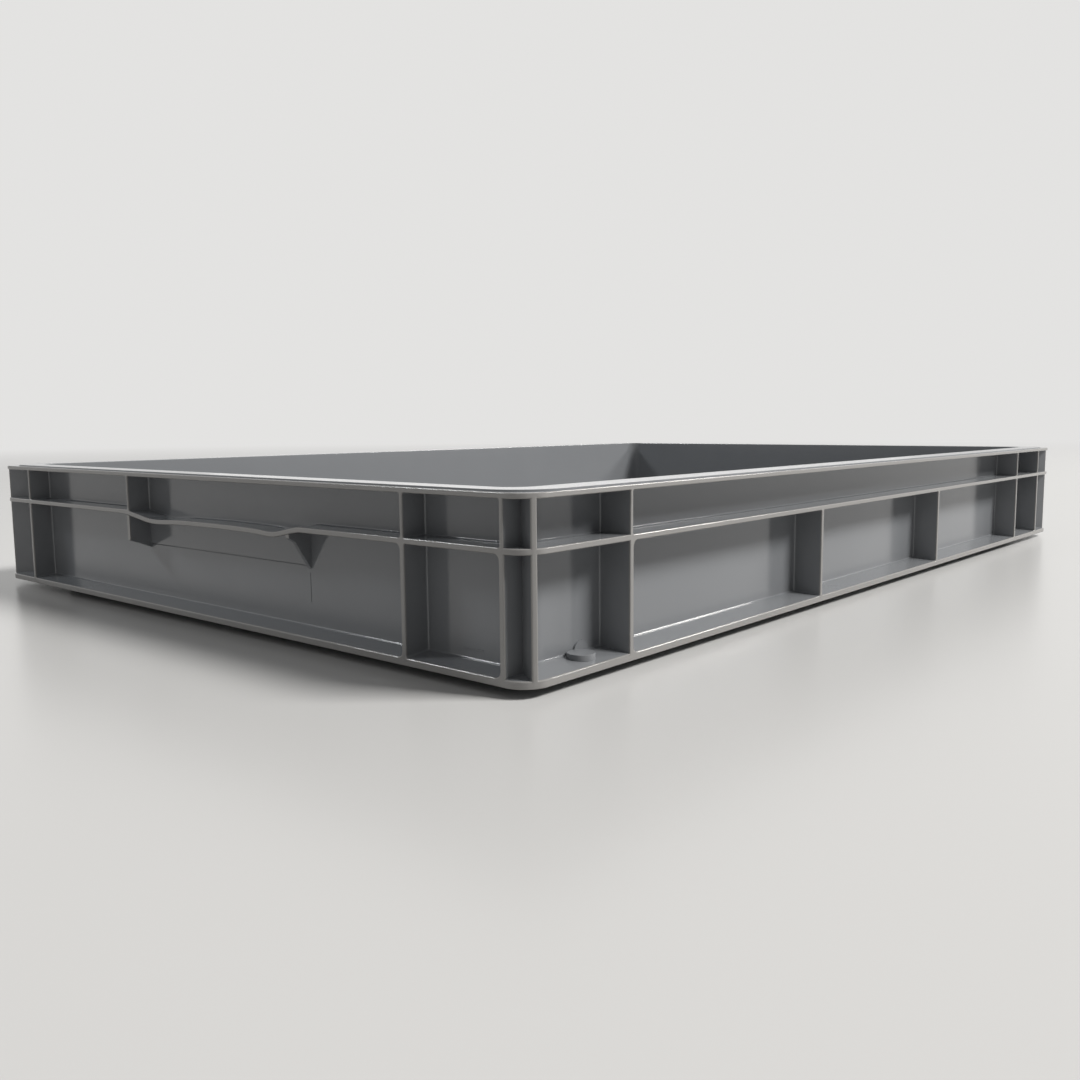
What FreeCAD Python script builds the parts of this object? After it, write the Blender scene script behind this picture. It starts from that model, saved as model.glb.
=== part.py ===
import FreeCAD, Part
import os

os.makedirs("parts", exist_ok=True)

# Outside sizes, mm
LENGTH = 600.0           # along X, over the rim
WIDTH = 400.0            # along Y, over the rim
HEIGHT = 68.0            # table to the highest face of the rim
CORNER_RADIUS = 10.0     # plan radius of rim, middle rib and bottom flange

# Rim
RIM_EDGE = 2.0           # height of its outer edge
LAND_RISE = 0.6          # how far the inner land stands over the outer edge
LAND_INSET = 2.6         # from the outer edge to the land
LAND_RADIUS = 18.0       # plan radius of the land at the corners

# Wall, floor and foot
END_DEPTH = 11.0         # pocket depth on the two short ends
SIDE_DEPTH = 14.0        # pocket depth on the two long sides
WALL = 2.3
WALL_RADIUS = 12.0       # plan radius of the wall's outer face
DRAFT = 0.9              # how much the cavity narrows on each side down to the floor
FLOOR = 2.4
FOOT_HEIGHT = 3.4        # clearance under the bottom flange
FOOT_INSET = 18.5
FOOT_RADIUS = 20.0
FOOT_WALL = 3.0
GRID_RIB = 1.8           # ribs on the underside of the floor
GRID_LIFT = 0.8          # clearance between those ribs and the table

# Flange, middle rib and upright ribs
FLANGE = 2.8             # height of the flange's outer edge
FLANGE_RISE = 1.2        # slope of its upper face, from the edge up to the wall
UPPER_BAND = 15.9        # height of the upper row of pockets
MID_RIB = 2.2
RIB = 2.2
POCKET_RADIUS = 2.4       # corners of the lower pockets at the ribs next to the near corner
POCKET_EDGE = 0.8         # corners of all other pockets
UPPER_RIB = 1.5           # thickness of the ribs above the middle rib
CORNER_RIB_TURN = 61      # degrees from the end's outward direction, near corner

# Upright ribs of a long side, to their middle planes
SIDE_RIB_NEAR = 56.6     # first full rib, from the corner with the boss
SIDE_RIB_FAR = 83.0      # last full rib, from the other corner
SIDE_POST = 32.1         # post beyond it, from that corner

# Upright ribs of a short end, to their middle planes
END_POST_NEAR = 11.2
END_RIB_NEAR = 59.4
END_POST_FAR = 34.5

# Hand grip of a short end
GRIP_WIDTH = 128.0       # between the two fins
GRIP_SHIFT = -8.0        # of its middle from the middle of the end
GRIP_DIP = 3.3           # how far the middle rib dips at the grip's ends
GRIP_ARCH = 1.1          # how much of that it regains halfway
GRIP_DROP = 14.8         # from the middle rib down to the grip panel's lower edge
GRIP_PANEL = 0.5         # how far the panel stands out of the wall
FIN_NOSE = 2.2           # height of the square fin's slanted end
GUSSET_NOSE = 3.2        # height of the small step at the gusset's outer tip

# Round boss in the first lower pocket of a long side
BOSS_RADIUS = 5.2
BOSS_HEIGHT = 2.2
BOSS_FROM_END = 37.6
BOSS_CLEARANCE = 0.4     # between the boss and the wall
ARCH_RADIUS = 4.2
ARCH_DEPTH = 0.9
ARCH_OFFSET = 6.0        # along the wall, from the boss

# Levels and planes that follow
RIM_TOP = HEIGHT - LAND_RISE
RIM_BOTTOM = RIM_TOP - RIM_EDGE
MID_TOP = RIM_BOTTOM - UPPER_BAND
MID_BOTTOM = MID_TOP - MID_RIB
FLANGE_TOP = FOOT_HEIGHT + FLANGE
FLOOR_BOTTOM = 0.75 * FOOT_HEIGHT
FLOOR_TOP = FLOOR_BOTTOM + FLOOR
HALF_X, HALF_Y = LENGTH / 2, WIDTH / 2
WALL_X, WALL_Y = HALF_X - END_DEPTH, HALF_Y - SIDE_DEPTH
GRIP_A = GRIP_SHIFT - GRIP_WIDTH / 2
GRIP_B = GRIP_SHIFT + GRIP_WIDTH / 2


def vec(x, y, z):
    return FreeCAD.Vector(x, y, z)


def ring_wire(half_x, half_y, radius, z):
    """Closed rounded rectangle about the Z axis."""
    arcs = []
    for sx, sy, a0 in ((1, 1, 0), (-1, 1, 90), (-1, -1, 180), (1, -1, 270)):
        middle = vec(sx * (half_x - radius), sy * (half_y - radius), z)
        arcs.append(Part.makeCircle(radius, middle, vec(0, 0, 1), a0, a0 + 90))
    edges = []
    for i, arc in enumerate(arcs):
        edges.append(arc)
        following = arcs[(i + 1) % 4]
        edges.append(Part.makeLine(arc.lastVertex().Point, following.firstVertex().Point))
    return Part.Wire(edges)


def slab(half_x, half_y, radius, z0, z1):
    """Upright prism on a rounded rectangle."""
    return Part.Face(ring_wire(half_x, half_y, radius, z0)).extrude(vec(0, 0, z1 - z0))


def box(x0, x1, y0, y1, z0, z1):
    return Part.makeBox(x1 - x0, y1 - y0, z1 - z0, vec(x0, y0, z0))


def extruded(points, direction):
    """Prism on a closed polygon of points."""
    return Part.Face(Part.makePolygon(points + points[:1])).extrude(direction)


def round_edges(shape, axis, radius_at):
    """Rounds the straight edges along the axis, each by the radius for its middle point."""
    middles = [e.CenterOfMass for e in shape.Edges if abs(abs(e.tangentAt(0).dot(axis)) - 1) < 1e-6]
    for radius in (POCKET_RADIUS, POCKET_EDGE):
        wanted = [p for p in middles if radius_at(p) == radius]
        edges = [e for e in shape.Edges if any(e.CenterOfMass.distanceToPoint(p) < 1e-6 for p in wanted)]
        if edges:
            shape = shape.makeFillet(radius, edges)
    return shape


def half_rib(z0):
    """Half the thickness of the upright ribs of the row that starts at z0."""
    return (RIB if z0 < MID_BOTTOM else UPPER_RIB) / 2


def side_pocket(x0, x1, z0, z1, first=POCKET_EDGE):
    """Pocket of the long side at -Y, between the middle planes of two ribs."""
    half = half_rib(z0)
    tool = box(x0 + half, x1 - half, -HALF_Y - 1, -WALL_Y, z0, z1)
    return round_edges(tool, vec(0, 1, 0), lambda p: first if p.x < (x0 + x1) / 2 else POCKET_EDGE)


def end_pocket(y0, y1, z0, z1, first=POCKET_EDGE):
    """Pocket of the short end at -X, between the middle planes of two ribs."""
    half = half_rib(z0)
    tool = box(-HALF_X - 1, -WALL_X, y0 + half, y1 - half, z0, z1)
    return round_edges(tool, vec(1, 0, 0), lambda p: first if p.y < (y0 + y1) / 2 else POCKET_EDGE)


def corner_pockets(sx, sy, reach_x, reach_y, z0, z1):
    """The two pockets around a corner, either side of the slanted corner rib."""
    ring = slab(HALF_X + 1, HALF_Y + 1, CORNER_RADIUS, z0, z1)
    ring = ring.cut(slab(WALL_X, WALL_Y, WALL_RADIUS, z0, z1))
    wide = 40
    turn = CORNER_RIB_TURN if sx < 0 else 45
    x0, x1 = sorted((sx * (HALF_X + 2), sx * (HALF_X - reach_x + half_rib(z0))))
    y0, y1 = sorted((sy * (HALF_Y + 2), sy * (HALF_Y - reach_y + half_rib(z0))))
    wide_x = sorted((sx * (HALF_X + 2), sx * (HALF_X - wide)))
    wide_y = sorted((sy * (HALF_Y + 2), sy * (HALF_Y - wide)))
    pockets = []
    for away, limits in ((1, (x0, x1, *wide_y)), (-1, (*wide_x, y0, y1))):
        half = box(-80, 80, *sorted((-away * RIB / 2, away * 80)), z0, z1)
        half.rotate(vec(0, 0, 0), vec(0, 0, 1), turn * sx * sy)
        half.translate(vec(sx * (HALF_X - CORNER_RADIUS), sy * (HALF_Y - CORNER_RADIUS), 0))
        pockets.append(ring.common(box(*limits, z0, z1)).cut(half))
    return pockets


def grip_curve(z):
    """Front line of the middle rib across the hand grip, at its undipped height z."""
    far, near, mid = GRIP_B, GRIP_A, GRIP_SHIFT
    points = [vec(-HALF_X - 1, far + 6, z), vec(-HALF_X - 1, far - 7, z - 0.45 * GRIP_DIP),
              vec(-HALF_X - 1, far - 22, z - GRIP_DIP),
              vec(-HALF_X - 1, mid + 18, z - GRIP_DIP + 0.7 * GRIP_ARCH),
              vec(-HALF_X - 1, mid - 14, z - GRIP_DIP + GRIP_ARCH),
              vec(-HALF_X - 1, near + 22, z - GRIP_DIP + 0.7 * GRIP_ARCH),
              vec(-HALF_X - 1, near + 10, z - 0.92 * GRIP_DIP),
              vec(-HALF_X - 1, near, z - 0.4 * GRIP_DIP), vec(-HALF_X - 1, near - 8, z)]
    curve = Part.BSplineCurve()
    curve.interpolate(Points=points, InitialTangent=vec(0, -1, 0), FinalTangent=vec(0, -1, 0))
    return curve.toShape()


def grip_pocket(y0, y1, z_flat, z_far):
    """Pocket of the short end whose edge at z_flat follows the dipped middle rib."""
    low_row = z_far < z_flat
    half = half_rib(0 if low_row else z_flat)
    y0, y1 = y0 + half, y1 - half
    y1_curve = min(y1, GRIP_B + 6)
    curve = grip_curve(z_flat)
    if y1 < GRIP_B + 6:
        cutter = Part.Face(Part.makePolygon([vec(-HALF_X - 1, y, z) for y, z in
                           ((y0, -99), (y1, -99), (y1, 199), (y0, 199), (y0, -99))]))
        curve = curve.common(cutter).Edges[0]
    ends = sorted((v.Point for v in curve.Vertexes), key=lambda p: p.y)
    line = Part.makeLine
    x = -HALF_X - 1
    edges = [curve, line(vec(x, y0, z_flat), ends[0]), line(vec(x, y0, z_flat), vec(x, y0, z_far)),
             line(vec(x, y0, z_far), vec(x, y1, z_far))]
    if y1 > y1_curve:
        edges += [line(ends[1], vec(x, y1, z_flat)), line(vec(x, y1, z_flat), vec(x, y1, z_far))]
    else:
        edges += [line(ends[1], vec(x, y1, z_far))]
    wire = Part.Wire(Part.__sortEdges__(edges))
    tool = Part.Face(wire).extrude(vec(END_DEPTH + 1, 0, 0))
    for y, radius in ((y0, POCKET_RADIUS if low_row else POCKET_EDGE), (y1, POCKET_EDGE)):
        corners = [e for e in tool.Edges if e.Curve.TypeId == "Part::GeomLine"
                   and abs(abs(e.tangentAt(0).x) - 1) < 1e-6 and abs(e.CenterOfMass.y - y) < 1e-6]
        tool = tool.makeFillet(radius, corners)
    return tool


def half_pockets():
    """Every pocket of the long side at -Y, the short end at -X and two corners."""
    near, far = -HALF_X + SIDE_RIB_NEAR, HALF_X - SIDE_RIB_FAR
    third = (far - near) / 3
    tools = [side_pocket(near, far, MID_TOP, RIM_BOTTOM)]
    for i in range(3):
        tools.append(side_pocket(near + i * third, near + (i + 1) * third, FLANGE_TOP, MID_BOTTOM,
                                 POCKET_RADIUS if i == 0 else POCKET_EDGE))
    post, rib, last = -HALF_Y + END_POST_NEAR, -HALF_Y + END_RIB_NEAR, HALF_Y - END_POST_FAR
    for z0, z1 in ((FLANGE_TOP, MID_BOTTOM), (MID_TOP, RIM_BOTTOM)):
        tools.append(side_pocket(far, HALF_X - SIDE_POST, z0, z1))
        tools.append(end_pocket(post, rib, z0, z1, POCKET_RADIUS if z0 < MID_BOTTOM else POCKET_EDGE))
        tools += corner_pockets(-1, -1, SIDE_RIB_NEAR, END_POST_NEAR, z0, z1)
        tools += corner_pockets(1, -1, SIDE_POST, END_POST_FAR, z0, z1)
    tools.append(end_pocket(GRIP_B, last, MID_TOP, RIM_BOTTOM))
    tools.append(grip_pocket(rib, GRIP_B, MID_TOP, RIM_BOTTOM))
    tools.append(grip_pocket(rib, last, MID_BOTTOM, FLANGE_TOP))
    return tools


def half_additions():
    """What stands in the pockets of the short end at -X and the long side at -Y."""
    low = MID_BOTTOM - GRIP_DROP
    wall = -WALL_X + 0.3
    fin = [vec(wall, GRIP_B, MID_TOP), vec(-HALF_X, GRIP_B, MID_TOP),
           vec(-HALF_X, GRIP_B, low + FIN_NOSE), vec(-HALF_X + 0.55 * END_DEPTH, GRIP_B, low),
           vec(wall, GRIP_B, low - FIN_NOSE)]
    fin = extruded(fin, vec(0, RIB, 0))
    fin.translate(vec(0, -RIB / 2, 0))
    top = MID_BOTTOM - 0.4 * GRIP_DIP
    tip = -HALF_X + 0.3 * END_DEPTH
    gusset = [vec(wall, GRIP_A, top), vec(-HALF_X, GRIP_A, top),
              vec(-HALF_X + 0.6, GRIP_A, top - 0.5 * GUSSET_NOSE), vec(tip, GRIP_A, top - GUSSET_NOSE),
              vec(-WALL_X - 0.6, GRIP_A, low - 1), vec(wall, GRIP_A, low - 1.6)]
    gusset = extruded(gusset, vec(0, RIB, 0))
    gusset.translate(vec(0, -RIB / 2, 0))
    panel = box(-WALL_X - GRIP_PANEL, wall, GRIP_A, GRIP_B, low, MID_BOTTOM)
    centre = vec(-HALF_X + BOSS_FROM_END, -WALL_Y - BOSS_CLEARANCE - BOSS_RADIUS, FOOT_HEIGHT + 1)
    boss = Part.makeCylinder(BOSS_RADIUS, FLANGE_TOP + FLANGE_RISE + BOSS_HEIGHT - centre.z - 0.6, centre)
    arch_at = vec(centre.x + ARCH_OFFSET, -WALL_Y - ARCH_DEPTH, FLANGE_TOP + FLANGE_RISE)
    arch = Part.makeCylinder(ARCH_RADIUS, ARCH_DEPTH + 0.3, arch_at, vec(0, 1, 0))
    return [fin, gusset, panel, boss, arch]


def turned(shapes):
    """The shapes and their copies turned half round, for the far side and end."""
    out = list(shapes)
    for shape in shapes:
        copy = shape.copy()
        copy.rotate(vec(0, 0, 0), vec(0, 0, 1), 180)
        out.append(copy)
    return out


def cavity():
    """Inside of the tray, narrowing down to the floor."""
    rise = HEIGHT - FLOOR_TOP
    over = (rise + 2) / rise
    low = ring_wire(WALL_X - WALL - DRAFT, WALL_Y - WALL - DRAFT, WALL_RADIUS - WALL, FLOOR_TOP)
    grow = DRAFT * (over - 1)
    high = ring_wire(WALL_X - WALL + grow, WALL_Y - WALL + grow, WALL_RADIUS - WALL, HEIGHT + 2)
    return Part.makeLoft([low, high], True, True)


def flange_slope():
    """Upper face of the bottom flange, rising from the outer edge to the wall."""
    outer = ring_wire(HALF_X, HALF_Y, CORNER_RADIUS, FLANGE_TOP)
    inner = ring_wire(WALL_X, WALL_Y, WALL_RADIUS, FLANGE_TOP + FLANGE_RISE)
    return Part.makeLoft([outer, inner], True, True)


def foot():
    """Raised ring that stands on the table or inside the rim of a tray below."""
    x, y = HALF_X - FOOT_INSET, HALF_Y - FOOT_INSET
    ring = slab(x, y, FOOT_RADIUS, 0, FOOT_HEIGHT + 0.4)
    hollow = slab(x - FOOT_WALL, y - FOOT_WALL, FOOT_RADIUS - FOOT_WALL, -1, FLOOR_BOTTOM)
    return ring.cut(hollow)


def grid():
    """Crossing ribs under the floor, between the foot's sides."""
    x, y = HALF_X - FOOT_INSET - 1, HALF_Y - FOOT_INSET - 1
    bars = [box(-x, x, sy * y / 3 - GRID_RIB / 2, sy * y / 3 + GRID_RIB / 2, GRID_LIFT, FLOOR_BOTTOM + 0.5)
            for sy in (-1, 1)]
    for i in (-2, -1, 0, 1, 2):
        at = i * x / 3
        bars.append(box(at - GRID_RIB / 2, at + GRID_RIB / 2, -y, y, GRID_LIFT, FLOOR_BOTTOM + 0.5))
    return bars


def build_container():
    """The whole moulding as one solid."""
    body = slab(HALF_X, HALF_Y, CORNER_RADIUS, FOOT_HEIGHT, RIM_TOP)
    land = slab(HALF_X - LAND_INSET, HALF_Y - LAND_INSET, LAND_RADIUS, RIM_TOP - 0.5, HEIGHT)
    body = body.fuse(land)
    body = body.cut(turned(half_pockets()))
    body = body.fuse([flange_slope(), foot()] + grid() + turned(half_additions()))
    body = body.cut(cavity())
    return body.removeSplitter()


shape = build_container()
assert shape.isValid() and len(shape.Solids) == 1, (shape.isValid(), len(shape.Solids))
shape = shape.Solids[0]
shape.exportStep("parts/container.step")
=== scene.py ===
"""Visual model of a shallow ribbed stacking container on a plain pale floor."""
import enum
import logging
import math
from dataclasses import dataclass, field
from typing import Callable, Iterable, Sequence

import bmesh
import bpy
from bmesh.types import BMEdge, BMesh, BMFace, BMVert
from bpy.types import Material, Node, NodeSocket, NodeTree, Object
from mathutils import Matrix, Vector


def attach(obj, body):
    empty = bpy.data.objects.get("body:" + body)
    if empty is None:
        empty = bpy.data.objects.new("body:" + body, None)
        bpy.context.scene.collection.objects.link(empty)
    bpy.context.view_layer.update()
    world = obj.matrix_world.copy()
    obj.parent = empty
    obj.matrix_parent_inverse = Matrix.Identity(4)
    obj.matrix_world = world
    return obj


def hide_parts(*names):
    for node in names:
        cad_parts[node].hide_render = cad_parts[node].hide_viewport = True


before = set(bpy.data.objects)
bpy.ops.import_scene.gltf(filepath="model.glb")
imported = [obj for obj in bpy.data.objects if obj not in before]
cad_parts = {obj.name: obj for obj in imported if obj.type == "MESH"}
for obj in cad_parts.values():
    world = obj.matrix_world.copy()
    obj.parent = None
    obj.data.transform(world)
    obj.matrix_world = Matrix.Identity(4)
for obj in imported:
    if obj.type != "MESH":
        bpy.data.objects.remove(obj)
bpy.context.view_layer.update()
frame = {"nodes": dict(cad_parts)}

MM = 0.001
CLEAR = 1.0  # how far a cutting shape stands past what it cuts, in millimetres
ON_PLANE = 1e-3  # how near to a plane a point counts as on it, in millimetres
GUSSET_DIP = 0.4  # share of the grip's dip that the rib has where the gusset meets it
LOG = logging.getLogger("stacking_container")
EdgeTest = Callable[[BMEdge], bool]


class Cut(enum.Enum):
    """How one solid acts on another."""

    ADD = "UNION"
    REMOVE = "DIFFERENCE"


class Band(enum.Enum):
    """The two rows of pockets round the outside of the tray."""

    LOWER = "lower"
    UPPER = "upper"


@dataclass(frozen=True)
class TraySizes:
    """Sizes of the moulding in millimetres, as its solid has them."""

    half_x: float = 300.0
    half_y: float = 200.0
    corner: float = 10.0
    top: float = 68.0
    land_rise: float = 0.6
    land_inset: float = 2.6
    land_corner: float = 18.0
    rim_edge: float = 2.0
    end_depth: float = 11.0
    side_depth: float = 14.0
    wall: float = 2.3
    wall_corner: float = 12.0
    draft: float = 0.9
    floor_low: float = 2.55
    floor_high: float = 4.95
    foot: float = 3.4
    foot_inset: float = 18.5
    foot_corner: float = 20.0
    foot_wall: float = 3.0
    grid_rib: float = 1.8
    grid_lift: float = 0.8
    flange: float = 2.8
    flange_rise: float = 1.2
    upper_band: float = 15.9
    mid_rib: float = 2.2
    rib: float = 2.2
    upper_rib: float = 1.5
    pocket_corner: float = 2.4
    pocket_edge: float = 0.8
    corner_rib_turn: float = 61.0
    side_rib_near: float = 56.6
    side_rib_far: float = 83.0
    side_post: float = 32.1
    end_post_near: float = 11.2
    end_rib_near: float = 59.4
    end_post_far: float = 34.5
    grip_width: float = 128.0
    grip_shift: float = -8.0
    grip_dip: float = 3.3
    grip_arch: float = 1.1
    grip_drop: float = 14.8
    grip_panel: float = 0.5
    fin_nose: float = 2.2
    gusset_nose: float = 3.2
    boss_radius: float = 5.2
    boss_height: float = 2.2
    boss_from_end: float = 37.6
    boss_gap: float = 0.4
    arch_radius: float = 4.2
    arch_depth: float = 0.9
    arch_offset: float = 6.0

    @property
    def rim_top(self) -> float:
        """Height of the rim's outer edge."""
        return self.top - self.land_rise

    @property
    def rim_bottom(self) -> float:
        """Height of the rim's lower face."""
        return self.rim_top - self.rim_edge

    @property
    def mid_top(self) -> float:
        """Height of the middle rib's upper face."""
        return self.rim_bottom - self.upper_band

    @property
    def mid_bottom(self) -> float:
        """Height of the middle rib's lower face."""
        return self.mid_top - self.mid_rib

    @property
    def flange_top(self) -> float:
        """Height of the bottom flange's outer edge."""
        return self.foot + self.flange

    @property
    def wall_x(self) -> float:
        """Outer face of the end wall, from the middle."""
        return self.half_x - self.end_depth

    @property
    def wall_y(self) -> float:
        """Outer face of the side wall, from the middle."""
        return self.half_y - self.side_depth

    @property
    def grip_a(self) -> float:
        """Middle plane of the gusset along the end at -X."""
        return self.grip_shift - self.grip_width / 2

    @property
    def grip_b(self) -> float:
        """Middle plane of the square fin along the end at -X."""
        return self.grip_shift + self.grip_width / 2

    @property
    def grip_low(self) -> float:
        """Height of the lower edge of the panel behind the grip."""
        return self.mid_bottom - self.grip_drop

    @property
    def at_wall(self) -> float:
        """Height of the flange where it meets the wall."""
        return self.flange_top + self.flange_rise

    def levels(self, band: Band) -> tuple[float, float]:
        """Lower and upper face of a row of pockets.

        Args:
            band: the row.

        Returns:
            The two heights.
        """
        if band is Band.LOWER:
            return self.flange_top, self.mid_bottom
        return self.mid_top, self.rim_bottom

    def half_rib(self, band: Band) -> float:
        """Half the thickness of the upright ribs of a row."""
        return (self.rib if band is Band.LOWER else self.upper_rib) / 2


@dataclass(frozen=True)
class Fillets:
    """Radii and steps of the moulding's rounded edges, in millimetres."""

    root: float = 0.7
    root_steps: int = 4
    mouth: float = 0.5
    mouth_steps: int = 3
    corner_steps: int = 12
    pocket_steps: int = 5
    floor: float = 3.0
    floor_steps: int = 6
    outer: float = 0.4
    outer_steps: int = 3
    inner: float = 0.4
    foot: float = 0.4
    land: float = 0.25
    fine_steps: int = 2


def block(x: Sequence[float], y: Sequence[float], z: Sequence[float]) -> BMesh:
    """Makes a rectangular block.

    Args:
        x: lowest and highest X in millimetres.
        y: lowest and highest Y.
        z: lowest and highest Z.

    Returns:
        The mesh.
    """
    bm = bmesh.new()
    bmesh.ops.create_cube(bm, size=1.0)
    size = Vector((x[1] - x[0], y[1] - y[0], z[1] - z[0]))
    middle = Vector((x[0] + x[1], y[0] + y[1], z[0] + z[1])) / 2
    bmesh.ops.scale(bm, vec=size, verts=bm.verts)
    bmesh.ops.translate(bm, vec=middle, verts=bm.verts)
    return bm


def bevel(bm: BMesh, test: EdgeTest, offset: float, steps: int) -> None:
    """Rounds the edges that pass a test.

    Args:
        bm: the mesh, changed in place.
        test: says which edges are rounded.
        offset: the radius.
        steps: segments of each rounding.
    """
    edges = [e for e in bm.edges if test(e)]
    bmesh.ops.bevel(bm, geom=edges, offset=offset, offset_type="OFFSET", segments=steps,
                    profile=0.5, affect="EDGES", clamp_overlap=False, material=-1)


def runs_along(edge: BMEdge, axis: int) -> bool:
    """Whether an edge is parallel to the axis 0, 1 or 2."""
    way = (edge.verts[1].co - edge.verts[0].co).normalized()
    return abs(abs(way[axis]) - 1) < 1e-4


def lies_at(edge: BMEdge, axis: int, value: float) -> bool:
    """Whether an edge lies on a plane square to the axis 0, 1 or 2."""
    return all(abs(v.co[axis] - value) < ON_PLANE for v in edge.verts)


def rounded_block(half_x: float, half_y: float, radius: float, z: Sequence[float],
                  steps: int) -> BMesh:
    """Makes an upright block with rounded corners about the middle.

    Args:
        half_x: half its length.
        half_y: half its width.
        radius: radius of its corners in plan.
        z: lowest and highest Z.
        steps: segments of each corner.

    Returns:
        The mesh.
    """
    bm = block((-half_x, half_x), (-half_y, half_y), z)
    bevel(bm, lambda e: runs_along(e, 2), radius, steps)
    return bm


def into_one(meshes: Iterable[BMesh]) -> BMesh:
    """Joins meshes that don't touch into one.

    Args:
        meshes: the meshes, which are freed.

    Returns:
        The joined mesh.
    """
    whole = bmesh.new()
    for part in meshes:
        loose = bpy.data.meshes.new("loose")
        bmesh.ops.recalc_face_normals(part, faces=part.faces)
        part.to_mesh(loose)
        whole.from_mesh(loose)
        bpy.data.meshes.remove(loose)
        part.free()
    return whole


def rotate(bm: BMesh, degrees: float, axis: str, verts: Sequence[BMVert] | None = None) -> None:
    """Turns a mesh, or some of its vertices, about an axis through the origin."""
    bmesh.ops.rotate(bm, cent=(0, 0, 0), matrix=Matrix.Rotation(math.radians(degrees), 3, axis),
                     verts=verts or bm.verts)


def turned(bm: BMesh) -> BMesh:
    """Adds the same shapes turned half round about the upright axis.

    Args:
        bm: the mesh, changed in place.

    Returns:
        The same mesh.
    """
    made = bmesh.ops.duplicate(bm, geom=bm.verts[:] + bm.edges[:] + bm.faces[:])
    rotate(bm, 180, "Z", [g for g in made["geom"] if isinstance(g, BMVert)])
    return bm


def as_object(bm: BMesh, name: str) -> Object:
    """Turns a mesh into an object of the scene.

    Args:
        bm: the mesh, which is freed.
        name: the object's name.

    Returns:
        The object, in the mesh's own units.
    """
    bmesh.ops.recalc_face_normals(bm, faces=bm.faces)
    data = bpy.data.meshes.new(name)
    bm.to_mesh(data)
    bm.free()
    made = bpy.data.objects.new(name, data)
    bpy.context.scene.collection.objects.link(made)
    return made


def combine(body: Object, tool: BMesh, cut: Cut) -> None:
    """Adds a solid to the body or takes it away.

    Args:
        body: the object, whose mesh is replaced.
        tool: the other solid, which is used up.
        cut: whether it is added or removed.
    """
    other = as_object(tool, "tool")
    modifier = body.modifiers.new("combine", "BOOLEAN")
    modifier.operation = cut.value
    modifier.solver = "EXACT"
    modifier.object = other
    graph = bpy.context.evaluated_depsgraph_get()
    result = bpy.data.meshes.new_from_object(body.evaluated_get(graph))
    body.modifiers.clear()
    old = body.data
    body.data = result
    bpy.data.meshes.remove(old)
    spent = other.data
    bpy.data.objects.remove(other)
    bpy.data.meshes.remove(spent)


def prism(points: Sequence[Sequence[float]], way: Sequence[float]) -> BMesh:
    """Extrudes a flat outline.

    Args:
        points: corners of the outline, in order.
        way: the extrusion, as a vector.

    Returns:
        The closed mesh.
    """
    bm = bmesh.new()
    outline = bm.faces.new([bm.verts.new(p) for p in points])
    made = bmesh.ops.extrude_face_region(bm, geom=[outline])
    verts = [g for g in made["geom"] if isinstance(g, BMVert)]
    bmesh.ops.translate(bm, vec=way, verts=verts)
    return bm


class GripCurve:
    """Dip of the middle rib across the hand grip of the end at -X.

    A knot is an offset from one of the grip's planes in millimetres, then shares of the dip and
    of the arch. The curve is level at its first and last knots.
    """

    FROM_GUSSET = ((-8.0, 0.0, 0.0), (0.0, GUSSET_DIP, 0.0), (10.0, 0.92, 0.0), (22.0, 1.0, 0.7))
    FROM_MIDDLE = ((-14.0, 1.0, 1.0), (18.0, 1.0, 0.7))
    FROM_FIN = ((-22.0, 1.0, 0.0), (-7.0, 0.45, 0.0), (6.0, 0.0, 0.0))

    def __init__(self, sizes: TraySizes) -> None:
        """Works out the places and heights of the knots.

        Args:
            sizes: the sizes of the tray.
        """
        planes = ((sizes.grip_a, self.FROM_GUSSET), (sizes.grip_shift, self.FROM_MIDDLE),
                  (sizes.grip_b, self.FROM_FIN))
        self.knots = [(plane + offset, arch * sizes.grip_arch - dip * sizes.grip_dip)
                      for plane, knots in planes for offset, dip, arch in knots]

    def slope(self, index: int) -> float:
        """Slope of the curve at one of its knots.

        Args:
            index: the knot's number.

        Returns:
            The slope.
        """
        if index in (0, len(self.knots) - 1):
            return 0.0
        (y0, z0), (y1, z1) = self.knots[index - 1], self.knots[index + 1]
        return (z1 - z0) / (y1 - y0)

    def at(self, y: float) -> float:
        """Depth of the dip at a place along the end.

        Args:
            y: the place.

        Returns:
            What is added to the height there, zero or negative.
        """
        for i, ((y0, z0), (y1, z1)) in enumerate(zip(self.knots, self.knots[1:])):
            if y0 <= y <= y1:
                span = y1 - y0
                t = (y - y0) / span
                start, finish = self.slope(i) * span, self.slope(i + 1) * span
                return ((2 * t**3 - 3 * t**2 + 1) * z0 + (t**3 - 2 * t**2 + t) * start
                        + (3 * t**2 - 2 * t**3) * z1 + (t**3 - t**2) * finish)
        return 0.0


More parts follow.
